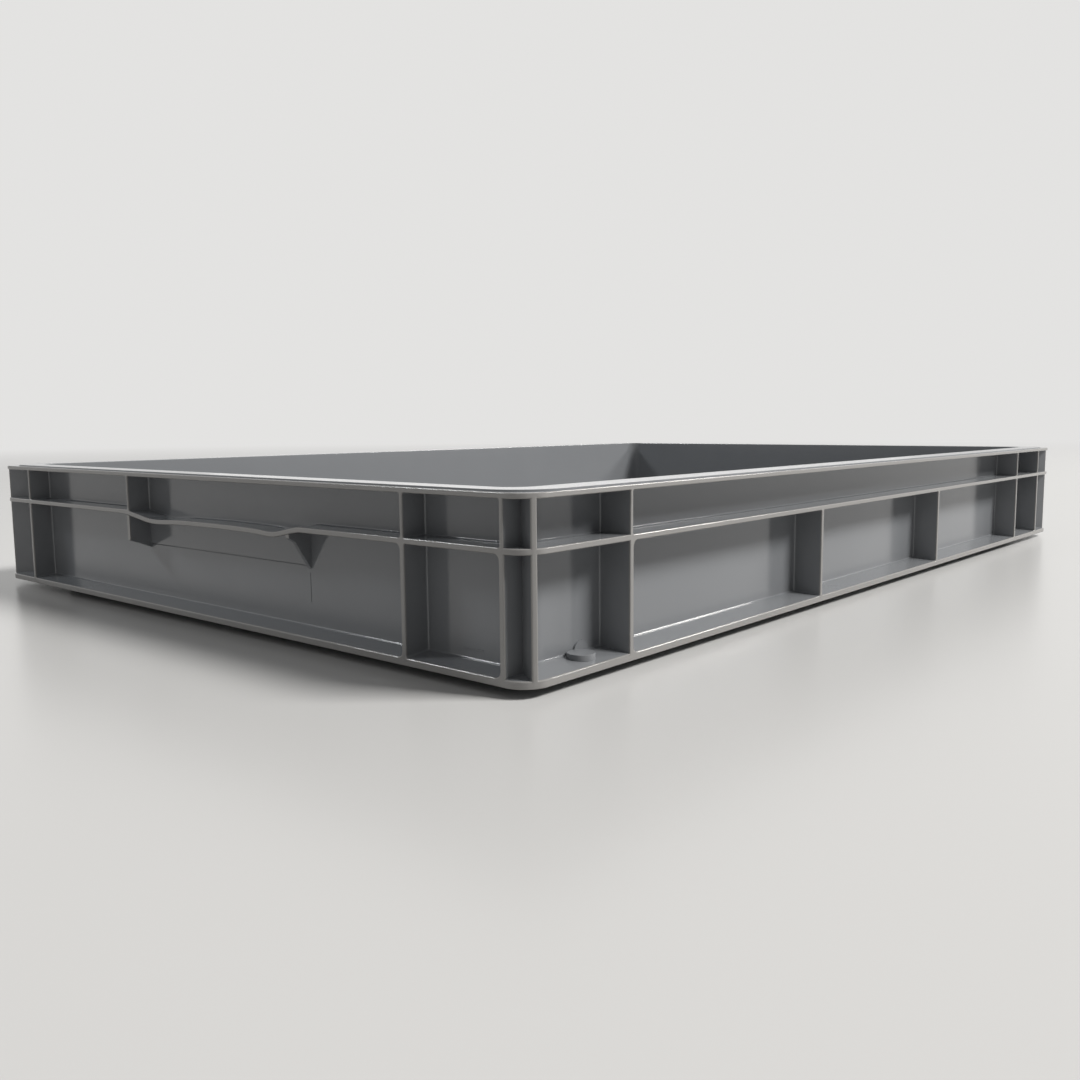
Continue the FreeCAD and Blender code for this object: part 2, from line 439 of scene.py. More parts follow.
@dataclass
class OuterPockets:
    """Shapes that are cut out of the outside, between the ribs.

    Lengths are in millimetres, root_angle is in radians and far_rib_turn in degrees.
    """

    sizes: TraySizes
    fillets: Fillets
    curve_steps: int = 72
    overrun: float = 6.0
    tail: float = 30.0
    root_angle: float = 0.8
    arc_error: float = 0.03
    far_rib_turn: float = 45.0

    def finish_back(self, bm: BMesh, on_wall: Callable[[Vector], bool]) -> None:
        """Rounds the edges where a pocket's sides meet the wall behind it.

        Args:
            bm: the pocket, changed in place.
            on_wall: says whether a point lies on that wall.
        """
        bevel(bm, lambda e: all(on_wall(v.co) for v in e.verts) and len(e.link_faces) == 2
              and e.calc_face_angle() > self.root_angle, self.fillets.root, self.fillets.root_steps)

    def straight(self, u: Sequence[float], band: Band, outer: float, depth: float,
                 dip: Callable[[float], float] | None = None,
                 corners: Sequence[float] | None = None) -> BMesh:
        """Makes one pocket of the side at -Y.

        Args:
            u: middle planes of the ribs at its two ends, along X.
            band: the row that it is in.
            outer: outer face of the side, from the middle.
            depth: from the outer face to the wall.
            dip: height that is added to the face at the middle rib, along X.
            corners: radii of its corners at its two ends.

        Returns:
            The mesh.
        """
        s = self.sizes
        z = s.levels(band)
        middle = sum(z) / 2
        ends = (u[0] + s.half_rib(band), u[1] - s.half_rib(band))
        back = -outer + depth
        bm = block(ends, (-outer - CLEAR, back), z)
        for x, radius in zip(ends, corners or (s.pocket_edge, s.pocket_edge)):
            bevel(bm, lambda e: runs_along(e, 1) and lies_at(e, 0, x), radius,
                  self.fillets.pocket_steps)
        if dip:
            long_edges = [e for e in bm.edges if runs_along(e, 0)]
            bmesh.ops.subdivide_edges(bm, edges=long_edges, cuts=self.curve_steps,
                                      use_grid_fill=True)
            for v in bm.verts:
                if (v.co.z > middle) == (band is Band.LOWER):
                    v.co.z += dip(v.co.x)
        if band is Band.LOWER:
            for v in bm.verts:
                if v.co.z < middle:
                    v.co.z += s.flange_rise * (v.co.y + outer) / depth
        self.finish_back(bm, lambda co: abs(co.y - back) < ON_PLANE)
        return bm

    def on_end(self, y: Sequence[float], band: Band,
               dip: Callable[[float], float] | None = None,
               first: float | None = None) -> BMesh:
        """Makes one pocket of the end at -X, by turning one of a side.

        Args:
            y: middle planes of the ribs at its two ends, along Y.
            band: the row that it is in.
            dip: height that is added to the face at the middle rib, along Y.
            first: radius of its corners at the first rib.

        Returns:
            The mesh.
        """
        s = self.sizes
        along = (lambda u: dip(-u)) if dip else None
        corners = (s.pocket_edge, first or s.pocket_edge)
        bm = self.straight((-y[1], -y[0]), band, s.half_x, s.end_depth, along, corners)
        rotate(bm, -90, "Z")
        return bm

    def reach(self, way: Vector) -> float:
        """Distance to the outer face from the middle of the wall's rounding at -X, -Y.

        Args:
            way: level direction of unit length.

        Returns:
            The distance.
        """
        s = self.sizes
        near = Vector((s.wall_corner + s.end_depth, s.wall_corner + s.side_depth, 0))
        hit = min(near.x / max(-way.x, 1e-9), near.y / max(-way.y, 1e-9))
        middle = Vector((s.corner - near.x, s.corner - near.y, 0))
        if hit * way.x < middle.x and hit * way.y < middle.y:
            along = way.dot(middle)
            return along + math.sqrt(along**2 - middle.length_squared + s.corner**2)
        return hit

    def sweep(self, reach_x: float, band: Band) -> BMesh:
        """Sweeps a pocket's section round the corner at -X, -Y.

        Args:
            reach_x: from the end to the first rib of the side.
            band: the row that it is in.

        Returns:
            The mesh, longer than needed past the corner.
        """
        s = self.sizes
        z0, z1 = s.levels(band)
        rise = s.flange_rise if band is Band.LOWER else 0.0
        start = -s.half_x + reach_x - s.half_rib(band)
        centre = Vector((s.wall_corner - s.wall_x, s.wall_corner - s.wall_y, 0))
        far = s.side_depth + s.wall_corner + self.overrun
        bm = bmesh.new()
        section = [(-s.wall_corner, z0 + rise), (-far, z0), (-far, z1), (-s.wall_corner, z1)]
        face = bm.faces.new([bm.verts.new((start, centre.y + y, z)) for y, z in section])
        face = self.pushed(bm, face, (centre.x - start, 0, 0))
        made = bmesh.ops.spin(bm, geom=[face, *face.edges, *face.verts], cent=centre,
                              axis=(0, 0, 1), angle=-math.pi / 2,
                              steps=self.fillets.corner_steps, use_merge=False)
        face = next(g for g in made["geom_last"] if isinstance(g, BMFace))
        self.pushed(bm, face, (0, self.tail, 0))
        inner = [f for f in bm.faces if all(len(e.link_faces) > 2 for e in f.edges)]
        bmesh.ops.delete(bm, geom=inner, context="FACES_ONLY")
        for v in bm.verts:
            away = Vector((min(v.co.x - centre.x, 0), min(v.co.y - centre.y, 0), 0))
            if away.length > far - CLEAR and v.co.z < z0 + CLEAR:
                width = self.reach(away.normalized()) - s.wall_corner
                v.co.z += rise - rise * (far - s.wall_corner) / width
        bmesh.ops.recalc_face_normals(bm, faces=bm.faces)
        return bm

    def pushed(self, bm: BMesh, face: BMFace, way: Sequence[float]) -> BMFace:
        """Extrudes a face.

        Args:
            bm: the mesh, changed in place.
            face: the face.
            way: the extrusion, as a vector.

        Returns:
            The face in its new place.
        """
        made = bmesh.ops.extrude_face_region(bm, geom=[face])["geom"]
        verts = [g for g in made if isinstance(g, BMVert)]
        bmesh.ops.translate(bm, vec=way, verts=verts)
        return next(g for g in made if isinstance(g, BMFace))

    def trimmed(self, bm: BMesh, point: Vector, normal: Vector) -> BMesh:
        """Cuts a mesh off at a plane and closes it.

        Args:
            bm: the mesh, changed in place.
            point: a point of the plane.
            normal: points to the side that is removed.

        Returns:
            The same mesh.
        """
        made = bmesh.ops.bisect_plane(bm, geom=bm.verts[:] + bm.edges[:] + bm.faces[:], dist=1e-5,
                                      plane_co=point, plane_no=normal, clear_outer=True)
        rim = [g for g in made["geom_cut"] if isinstance(g, BMEdge)]
        bmesh.ops.contextual_create(bm, geom=rim)
        bmesh.ops.recalc_face_normals(bm, faces=bm.faces)
        return bm

    def on_wall(self, co: Vector) -> bool:
        """Whether a point lies on the wall near the corner at -X, -Y.

        Args:
            co: the point.

        Returns:
            True if it does.
        """
        s = self.sizes
        dx, dy = co.x + s.wall_x - s.wall_corner, co.y + s.wall_y - s.wall_corner
        if dx > 0 or dy > 0:
            return abs(co.y + s.wall_y) < ON_PLANE or abs(co.x + s.wall_x) < ON_PLANE
        return abs(math.hypot(dx, dy) - s.wall_corner) < self.arc_error

    def corner(self, reach_x: float, reach_y: float, band: Band, turn: float) -> list[BMesh]:
        """Makes the two pockets either side of the slanted rib of the corner at -X, -Y.

        Args:
            reach_x: from the end to the first rib of the side.
            reach_y: from the side to the first rib of the end.
            band: the row that they are in.
            turn: direction of the slanted rib in degrees from the end's outward direction.

        Returns:
            The two meshes.
        """
        s = self.sizes
        end_y = -s.half_y + reach_y - s.half_rib(band)
        middle = Vector((s.corner - s.half_x, s.corner - s.half_y, 0))
        across = Vector((math.sin(math.radians(turn)), -math.cos(math.radians(turn)), 0))
        pieces = []
        for side in (1, -1):
            bm = self.sweep(reach_x, band)
            if side < 0:
                self.trimmed(bm, Vector((0, end_y, 0)), Vector((0, 1, 0)))
            self.finish_back(bm, self.on_wall)
            self.trimmed(bm, middle + across * side * s.rib / 2, -across * side)
            pieces.append(bm)
        return pieces

    def all(self) -> BMesh:
        """Makes every pocket of the tray.

        Returns:
            The pockets as one mesh.
        """
        s = self.sizes
        curve = GripCurve(s)
        near, far = -s.half_x + s.side_rib_near, s.half_x - s.side_rib_far
        third = (far - near) / 3
        post, rib = -s.half_y + s.end_post_near, -s.half_y + s.end_rib_near
        last = s.half_y - s.end_post_far
        large, edge = s.pocket_corner, s.pocket_edge
        made = [self.straight((near, far), Band.UPPER, s.half_y, s.side_depth)]
        for i in range(3):
            corners = (large if i == 0 else edge, edge)
            made.append(self.straight((near + i * third, near + (i + 1) * third), Band.LOWER,
                                      s.half_y, s.side_depth, corners=corners))
        for band in Band:
            first = large if band is Band.LOWER else edge
            made.append(self.straight((far, s.half_x - s.side_post), band, s.half_y, s.side_depth))
            made.append(self.on_end((post, rib), band, first=first))
            made += self.corner(s.side_rib_near, s.end_post_near, band, s.corner_rib_turn)
            for bm in self.corner(s.side_post, s.end_post_far, band, self.far_rib_turn):
                bmesh.ops.scale(bm, vec=(-1, 1, 1), verts=bm.verts)
                made.append(bm)
        made.append(self.on_end((s.grip_b, last), Band.UPPER))
        made.append(self.on_end((rib, s.grip_b), Band.UPPER, curve.at))
        made.append(self.on_end((rib, last), Band.LOWER, curve.at, large))
        return turned(into_one(made))


@dataclass
class GripParts:
    """What stands on the wall inside the pockets, and the fine lines in it.

    Lengths are in millimetres; fin_tip and gusset_tip are shares of the pocket's depth.
    """

    sizes: TraySizes
    bite: float = 0.3
    set_back: float = 0.05
    lap: float = 0.5
    edge: float = 0.3
    boss_edge: float = 0.35
    panel_edge: float = 0.2
    edge_steps: int = 2
    round_steps: int = 40
    fin_tip: float = 0.55
    gusset_lap: float = 1.0
    gusset_lip: float = 0.6
    gusset_tip: float = 0.3
    gusset_toe: float = 0.6
    toe_drop: float = 1.0
    heel_drop: float = 1.6
    boss_sink: float = 0.6
    boss_root: float = 1.0
    line: float = 0.4
    line_bite: float = 0.05
    line_depth: float = 0.5
    scratch: float = 0.4
    scratch_depth: float = 0.15
    scratch_span: tuple[float, float] = (3.0, 15.0)
    dash: tuple[float, float] = (-169.5, -160.0)
    dash_rise: float = 3.4
    dash_height: float = 0.45
    dash_depth: float = 0.25

    def plate(self, profile: Sequence[Sequence[float]], middle: float, top: float) -> BMesh:
        """Makes an upright plate square to the wall, with its free edges rounded.

        Args:
            profile: its outline in X and Z.
            middle: its middle plane, along Y.
            top: height of the rib above it, under which its edges are free.

        Returns:
            The mesh.
        """
        s = self.sizes
        bm = prism([(x, middle - s.rib / 2, z) for x, z in profile], (0, s.rib, 0))
        free = -s.wall_x - self.lap
        bevel(bm, lambda e: min(v.co.x for v in e.verts) < free
              and max(v.co.z for v in e.verts) < top, self.edge, self.edge_steps)
        return bm

    def fin(self) -> BMesh:
        """Makes the square fin at one end of the grip.

        Returns:
            The mesh.
        """
        s = self.sizes
        wall, face = -s.wall_x + self.bite, -s.half_x + self.set_back
        low, top = s.grip_low, s.mid_top - self.lap
        profile = [(wall, top), (face, top), (face, low + s.fin_nose),
                   (-s.half_x + self.fin_tip * s.end_depth, low), (wall, low - s.fin_nose)]
        return self.plate(profile, s.grip_b, s.mid_bottom)

    def gusset(self) -> BMesh:
        """Makes the gusset at the other end of the grip.

        Returns:
            The mesh.
        """
        s = self.sizes
        wall, face = -s.wall_x + self.bite, -s.half_x + self.set_back
        low, top = s.grip_low, s.mid_bottom - GUSSET_DIP * s.grip_dip
        profile = [(wall, top + self.gusset_lap), (face, top + self.gusset_lap),
                   (-s.half_x + self.gusset_lip, top - s.gusset_nose / 2),
                   (-s.half_x + self.gusset_tip * s.end_depth, top - s.gusset_nose),
                   (-s.wall_x - self.gusset_toe, low - self.toe_drop),
                   (wall, low - self.heel_drop)]
        return self.plate(profile, s.grip_a, top)

    def disc(self, radius: float, depth: float) -> BMesh:
        """Makes a round block about the origin, upright.

        Args:
            radius: its radius.
            depth: its height.

        Returns:
            The mesh.
        """
        bm = bmesh.new()
        bmesh.ops.create_cone(bm, cap_ends=True, segments=self.round_steps, radius1=radius,
                              radius2=radius, depth=depth)
        return bm

    def boss_centre(self) -> Vector:
        """Where the boss stands in plan."""
        s = self.sizes
        return Vector((-s.half_x + s.boss_from_end, -s.wall_y - s.boss_gap - s.boss_radius, 0))

    def boss(self) -> BMesh:
        """Makes the round boss on the flange of the side at -Y.

        Returns:
            The mesh.
        """
        s = self.sizes
        centre = self.boss_centre()
        top, low = s.at_wall + s.boss_height - self.boss_sink, s.foot + self.boss_root
        bm = self.disc(s.boss_radius, top - low)
        bmesh.ops.translate(bm, vec=(centre.x, centre.y, (top + low) / 2), verts=bm.verts)
        bevel(bm, lambda e: lies_at(e, 2, top), self.boss_edge, self.edge_steps)
        return bm

    def arch(self) -> BMesh:
        """Makes the half-round pad on the wall behind the boss.

        Returns:
            The mesh.
        """
        s = self.sizes
        bm = self.disc(s.arch_radius, s.arch_depth + self.bite)
        rotate(bm, 90, "X")
        place = (self.boss_centre().x + s.arch_offset,
                 -s.wall_y - s.arch_depth / 2 + self.bite / 2, s.at_wall)
        bmesh.ops.translate(bm, vec=place, verts=bm.verts)
        return bm

    def panel(self) -> BMesh:
        """Makes the raised panel behind the grip.

        Returns:
            The mesh.
        """
        s = self.sizes
        face = -s.wall_x - s.grip_panel
        bm = block((face, -s.wall_x + self.bite), (s.grip_a, s.grip_b),
                   (s.grip_low, s.mid_bottom - self.lap))
        bevel(bm, lambda e: lies_at(e, 0, face) and lies_at(e, 2, s.grip_low), self.panel_edge,
              self.edge_steps)
        return bm

    def witness_lines(self) -> BMesh:
        """Makes the fine grooves under the panel and below the gusset.

        Returns:
            The two grooves as one mesh.
        """
        s = self.sizes
        clear, low = s.rib / 2 + self.bite, s.grip_low
        under = block((-s.wall_x - CLEAR, -s.wall_x + self.line_depth),
                      (s.grip_a + clear, s.grip_b - clear),
                      (low - self.line, low + self.line_bite))
        start, end = self.scratch_span
        down = block((-s.wall_x - CLEAR, -s.wall_x + self.scratch_depth),
                     (s.grip_a - self.scratch / 2, s.grip_a + self.scratch / 2),
                     (low - end, low - start))
        return into_one([under, down])

    def raised_dash(self) -> BMesh:
        """Makes the small raised dash low on the wall of the end's first pocket.

        Returns:
            The mesh.
        """
        s = self.sizes
        low = s.at_wall + self.dash_rise
        return block((-s.wall_x - self.dash_depth, -s.wall_x + self.bite), self.dash,
                     (low, low + self.dash_height))


@dataclass
class Tray:
    """The whole moulding, in millimetres, degrees and, for sharp_angle, radians."""

    sizes: TraySizes = field(default_factory=TraySizes)
    fillets: Fillets = field(default_factory=Fillets)
    lap: float = 0.5
    ring_lap: float = 0.4
    merge: float = 0.002
    flat_degrees: float = 0.05
    sharp_angle: float = 0.9
    flat_error: float = 0.02
    arc_error: float = 0.12
    top_error: float = 0.01
    land_band: float = 4.0
    smooth_degrees: float = 38.0
    normal_weight: int = 100

    def outside(self) -> Object:
        """Makes the outer block with the rim's land.

        Returns:
            The object that the rest is cut from.
        """
        s, r = self.sizes, self.fillets
        ends = (s.foot, s.rim_top)
        bm = rounded_block(s.half_x, s.half_y, s.corner, ends, r.corner_steps)
        bevel(bm, lambda e: any(lies_at(e, 2, z) for z in ends), r.outer, r.outer_steps)
        body = as_object(bm, "container_moulding")
        land = rounded_block(s.half_x - s.land_inset, s.half_y - s.land_inset, s.land_corner,
                             (s.rim_top - self.lap, s.top), r.corner_steps)
        bevel(land, lambda e: lies_at(e, 2, s.top), r.land, r.fine_steps)
        combine(body, land, Cut.ADD)
        return body

    def cavity(self) -> BMesh:
        """Makes the inside of the tray, narrowing down to the floor.

        Returns:
            The mesh, higher than the tray.
        """
        s, r = self.sizes, self.fillets
        half_x, half_y = s.wall_x - s.wall - s.draft, s.wall_y - s.wall - s.draft
        top = s.top + 2 * CLEAR
        bm = rounded_block(half_x, half_y, s.wall_corner - s.wall, (s.floor_high, top),
                           r.corner_steps)
        grow = s.draft * (top - s.floor_high) / (s.top - s.floor_high)
        for v in bm.verts:
            if v.co.z > top - CLEAR:
                v.co.x += math.copysign(grow, v.co.x)
                v.co.y += math.copysign(grow, v.co.y)
        bevel(bm, lambda e: lies_at(e, 2, s.floor_high), r.floor, r.floor_steps)
        return bm

    def underside(self, body: Object) -> None:
        """Adds the foot and the ribs under the floor.

        Args:
            body: the tray, changed in place.
        """
        s, r = self.sizes, self.fillets
        x, y = s.half_x - s.foot_inset, s.half_y - s.foot_inset
        ring = rounded_block(x, y, s.foot_corner, (0, s.foot + self.ring_lap), r.corner_steps)
        bevel(ring, lambda e: lies_at(e, 2, 0.0), r.foot, r.fine_steps)
        combine(body, ring, Cut.ADD)
        hollow = rounded_block(x - s.foot_wall, y - s.foot_wall, s.foot_corner - s.foot_wall,
                               (-CLEAR, s.floor_low), r.corner_steps)
        combine(body, hollow, Cut.REMOVE)
        x, y = x - CLEAR, y - CLEAR
        half, z = s.grid_rib / 2, (s.grid_lift, s.floor_low + self.lap)
        rows = [block((-x, x), (side * y / 3 - half, side * y / 3 + half), z) for side in (-1, 1)]
        combine(body, into_one(rows), Cut.ADD)
        columns = [block((i * x / 3 - half, i * x / 3 + half), (-y, y), z) for i in range(-2, 3)]
        combine(body, into_one(columns), Cut.ADD)

    def at_mouth(self, edge: BMEdge) -> bool:
        """Whether an edge is a sharp outer edge of a pocket.

        Args:
            edge: the edge.

        Returns:
            True if it is.
        """
        s = self.sizes
        if len(edge.link_faces) != 2 or edge.calc_face_angle_signed() < self.sharp_angle:
            return False
        low, high = s.flange_top - CLEAR, s.rim_bottom + CLEAR
        return all(self.on_outer_face(v.co) and low < v.co.z < high for v in edge.verts)

    def at_inner_rim(self, edge: BMEdge) -> bool:
        """Whether an edge is the rim's sharp inner edge.

        Args:
            edge: the edge.

        Returns:
            True if it is.
        """
        if len(edge.link_faces) != 2 or edge.calc_face_angle() <= self.sharp_angle:
            return False
        low = self.sizes.top - self.top_error
        return all(v.co.z > low and not self.on_land_edge(v.co) for v in edge.verts)

    def soften(self, body: Object) -> None:
        """Cleans the mesh, rounds the edges that the cuts left sharp and scales it to metres.

        Args:
            body: the tray, changed in place.
        """
        r = self.fillets
        bm = bmesh.new()
        bm.from_mesh(body.data)
        bmesh.ops.remove_doubles(bm, verts=bm.verts, dist=self.merge)
        bmesh.ops.dissolve_degenerate(bm, edges=bm.edges, dist=self.merge)
        bmesh.ops.dissolve_limit(bm, angle_limit=math.radians(self.flat_degrees), verts=bm.verts,
                                 edges=bm.edges)
        bevel(bm, self.at_mouth, r.mouth, r.mouth_steps)
        bevel(bm, self.at_inner_rim, r.inner, r.fine_steps)
        bmesh.ops.scale(bm, vec=(MM, MM, MM), verts=bm.verts)
        bm.to_mesh(body.data)
        bm.free()

    def on_outer_face(self, co: Vector) -> bool:
        """Whether a point lies on the tray's upright outer face.

        Args:
            co: the point.

        Returns:
            True if it does.
        """
        s = self.sizes
        dx, dy = abs(co.x) - s.half_x + s.corner, abs(co.y) - s.half_y + s.corner
        if dx > 0 and dy > 0:
            return abs(math.hypot(dx, dy) - s.corner) < self.arc_error
        return min(abs(dx - s.corner), abs(dy - s.corner)) < self.flat_error

    def on_land_edge(self, co: Vector) -> bool:
        """Whether a point is near the outer edge of the rim's land."""
        inset = self.sizes.land_inset + self.land_band
        return abs(co.x) > self.sizes.half_x - inset or abs(co.y) > self.sizes.half_y - inset

    def build(self) -> Object:
        """Makes the finished mesh of the moulding.

        Returns:
            The object, in metres.
        """
        parts = GripParts(self.sizes)
        body = self.outside()
        combine(body, OuterPockets(self.sizes, self.fillets).all(), Cut.REMOVE)
        for group in ([parts.fin(), parts.gusset(), parts.boss()],
                      [parts.panel(), parts.arch(), parts.raised_dash()]):
            combine(body, turned(into_one(group)), Cut.ADD)
        combine(body, turned(parts.witness_lines()), Cut.REMOVE)
        self.underside(body)
        combine(body, self.cavity(), Cut.REMOVE)
        self.soften(body)
        body.data.shade_smooth()
        body.data.set_sharp_from_angle(angle=math.radians(self.smooth_degrees))
        weighted = body.modifiers.new("weighted", "WEIGHTED_NORMAL")
        weighted.keep_sharp = True
        weighted.weight = self.normal_weight
        return body


def ramp(tree: NodeTree, value: NodeSocket, source: Sequence[float],
         target: Sequence[float], kind: str = "SMOOTHSTEP") -> NodeSocket:
    """Maps a value from one range to another, and holds it there past the ends.

    Args:
        tree: the nodes that it is added to.
        value: the value.
        source: the range that it has.
        target: the range that it gets.
        kind: the kind of interpolation.

    Returns:
        The mapped value.
    """
    node = tree.nodes.new("ShaderNodeMapRange")
    node.interpolation_type = kind
    names = ("From Min", "From Max", "To Min", "To Max")
    for name, number in zip(names, (*source, *target)):
        node.inputs[name].default_value = number
    tree.links.new(value, node.inputs["Value"])
    return node.outputs["Result"]


class NodeSheet:
    """Shorthand for a material's nodes."""

    NOISE_MIDDLE = (0.35, 0.65)

    def __init__(self, name: str) -> None:
        """Makes an empty material with a Principled shader.

        Args:
            name: the material's name.
        """
        self.material = bpy.data.materials.new(name)
        self.material.use_nodes = True
        self.tree = self.material.node_tree
        self.shader = self.tree.nodes["Principled BSDF"]
        self.output = self.tree.nodes["Material Output"]
        self.place = self.add("ShaderNodeTexCoord").outputs["Object"]

    def add(self, kind: str, **values: object) -> Node:
        """Adds a node.

        Args:
            kind: its type.
            values: settings, or values of its input sockets by name with _ for spaces.

        Returns:
            The node.
        """
        node = self.tree.nodes.new(kind)
        for key, value in values.items():
            if hasattr(node, key):
                setattr(node, key, value)
            else:
                node.inputs[key.replace("_", " ")].default_value = value
        return node

    def link(self, source: NodeSocket, target: NodeSocket) -> None:
        """Joins two sockets."""
        self.tree.links.new(source, target)

    def noise(self, scale: float, detail: float) -> NodeSocket:
        """Adds a noise on object coordinates.

        Args:
            scale: its scale, per metre.
            detail: its detail.

        Returns:
            The noise's value.
        """
        noise = self.add("ShaderNodeTexNoise", Scale=scale, Detail=detail)
        self.link(self.place, noise.inputs["Vector"])
        return noise.outputs["Fac"]

    def spread(self, value: NodeSocket, low: float, high: float) -> NodeSocket:
        """Maps a noise's middle range to two limits."""
        return ramp(self.tree, value, self.NOISE_MIDDLE, (low, high), "LINEAR")

    def vector(self, operation: str, value: NodeSocket,
               other: Sequence[float] = (0, 0, 0)) -> NodeSocket:
        """Adds one step of vector arithmetic.

        Args:
            operation: its name.
            value: the first vector.
            other: the second vector, where it takes one.

        Returns:
            Its result, a number for LENGTH and a vector otherwise.
        """
        node = self.add("ShaderNodeVectorMath", operation=operation)
        node.inputs[1].default_value = other
        self.link(value, node.inputs[0])
        return node.outputs["Value" if operation == "LENGTH" else "Vector"]

    def mixed(self, share: NodeSocket, first: Sequence[float] | NodeSocket,
              second: Sequence[float] | NodeSocket) -> NodeSocket:
        """Mixes two colours.

        Args:
            share: how much the second one has.
            first: red, green and blue, or a socket.
            second: likewise.

        Returns:
            The mixed colour.
        """
        mix = self.add("ShaderNodeMix", data_type="RGBA")
        self.link(share, mix.inputs["Factor"])
        for identifier, colour in (("A_Color", first), ("B_Color", second)):
            socket = next(i for i in mix.inputs if i.identifier == identifier)
            if isinstance(colour, NodeSocket):
                self.link(colour, socket)
            else:
                socket.default_value = (*colour, 1)
        return next(o for o in mix.outputs if o.identifier == "Result_Color")

    def bump(self, height: NodeSocket, strength: float, distance: float) -> Node:
        """Adds a bump.

        Args:
            height: what raises it.
            strength: its strength.
            distance: its height in metres.

        Returns:
            The node.
        """
        node = self.add("ShaderNodeBump", Strength=strength, Distance=distance)
        self.link(height, node.inputs["Height"])
        return node


def seen_rays(tree: NodeTree) -> NodeSocket:
    """Gives 1 for rays that show the backdrop: camera, glossy and transmission rays.

    Args:
        tree: the nodes that it is added to.

    Returns:
        The value, 0 for other rays.
    """
    path = tree.nodes.new("ShaderNodeLightPath")
    total = path.outputs["Is Camera Ray"]
    for name in ("Is Glossy Ray", "Is Transmission Ray"):
        node = tree.nodes.new("ShaderNodeMath")
        node.operation = "MAXIMUM"
        tree.links.new(total, node.inputs[0])
        tree.links.new(path.outputs[name], node.inputs[1])
        total = node.outputs["Value"]
    return total


@dataclass(frozen=True)
class SatinPolypropylene:
    """Grey moulded polypropylene with a satin sheen, and a painted highlight on its upright outer
    faces.
    """

    light: tuple[float, float, float] = (0.172, 0.179, 0.188)
    dark: tuple[float, float, float] = (0.162, 0.169, 0.178)
    # painted highlight: a lighter, warmer colour painted on the upright outer faces in place of the
    # light they catch; the next two values say where it fades out, in mm in from the corner
    # rounding
    painted_highlight: tuple[float, float, float] = (0.212, 0.207, 0.200)
    highlight_from: float = 1.1
    highlight_to: float = 0.2
    smooth: float = 0.11
    rough: float = 0.15
    tone: tuple[float, float] = (9.0, 3.0)
    sheen: tuple[float, float] = (60.0, 4.0)
    wave: tuple[float, float] = (22.0, 1.0)
    wave_bump: tuple[float, float] = (0.015, 0.002)
    grain: tuple[float, float] = (1400.0, 2.0)
    grain_bump: tuple[float, float] = (0.02, 0.0002)
    ior: float = 1.5

    def material(self) -> Material:
        """Builds the material.

        Returns:
            The material.
        """
        sheet = NodeSheet("satin_polypropylene")
        inputs = sheet.shader.inputs
        tone = sheet.spread(sheet.noise(*self.tone), 0.0, 1.0)
        colour = sheet.mixed(tone, self.dark, self.light)
        # the base colour takes the painted highlight colour on the upright outer faces
        sheet.link(sheet.mixed(self.painted_highlight_mask(sheet), colour, self.painted_highlight), inputs["Base Color"])
        sheet.link(sheet.spread(sheet.noise(*self.sheen), self.smooth, self.rough),
                   inputs["Roughness"])
        wave = sheet.bump(sheet.noise(*self.wave), *self.wave_bump)
        grain = sheet.bump(sheet.noise(*self.grain), *self.grain_bump)
        sheet.link(wave.outputs["Normal"], grain.inputs["Normal"])
        sheet.link(grain.outputs["Normal"], inputs["Normal"])
        inputs["IOR"].default_value = self.ior
        return sheet.material

    def painted_highlight_mask(self, sheet: NodeSheet) -> NodeSocket:
        """Gives 1 on the upright outer faces, which get a painted highlight colour in place of the
        light they catch, and 0 a little way in.

        Args:
            sheet: the material's nodes.

        Returns:
            The value.
        """
        s = TraySizes()
        straight = ((s.half_x - s.corner) * MM, (s.half_y - s.corner) * MM, 1)
        past = sheet.vector("SUBTRACT", sheet.vector("ABSOLUTE", sheet.place), straight)
        reach = sheet.vector("LENGTH", sheet.vector("MAXIMUM", past))
        # band in which the painted highlight fades from the outer face inwards
        highlight_band = ((s.corner - self.highlight_from) * MM, (s.corner - self.highlight_to) * MM)
        return ramp(sheet.tree, reach, highlight_band, (0.0, 1.0))


@dataclass(frozen=True)
class PaleTable:
    """Pale table with a soft reflection that fades into the backdrop."""

    colour: tuple[float, float, float] = (0.6, 0.597, 0.589)
    backdrop: tuple[float, float, float] = (0.77, 0.765, 0.755)
    roughness: float = 0.26
    gloss: float = 0.5
    fade_from: float = 1.2
    fade_to: float = 4.0

    def material(self) -> Material:
        """Builds the material.

        Returns:
            The material.
        """
        sheet = NodeSheet("pale_table")
        sheet.shader.inputs["Base Color"].default_value = (*self.colour, 1)
        sheet.shader.inputs["Roughness"].default_value = self.roughness
        sheet.shader.inputs["Specular IOR Level"].default_value = self.gloss
        away = sheet.vector("LENGTH", sheet.place)
        fade = ramp(sheet.tree, away, (self.fade_from, self.fade_to), (0.0, 1.0))
        glow = sheet.add("ShaderNodeEmission")
        glow.inputs["Color"].default_value = (*self.backdrop, 1)
        share = sheet.add("ShaderNodeMath", operation="MULTIPLY")
        sheet.link(fade, share.inputs[0])
        sheet.link(seen_rays(sheet.tree), share.inputs[1])
        blend = sheet.add("ShaderNodeMixShader")
        sheet.link(share.outputs["Value"], blend.inputs["Fac"])
        sheet.link(sheet.shader.outputs["BSDF"], blend.inputs[1])
        sheet.link(glow.outputs["Emission"], blend.inputs[2])
        sheet.link(blend.outputs["Shader"], sheet.output.inputs["Surface"])
        return sheet.material


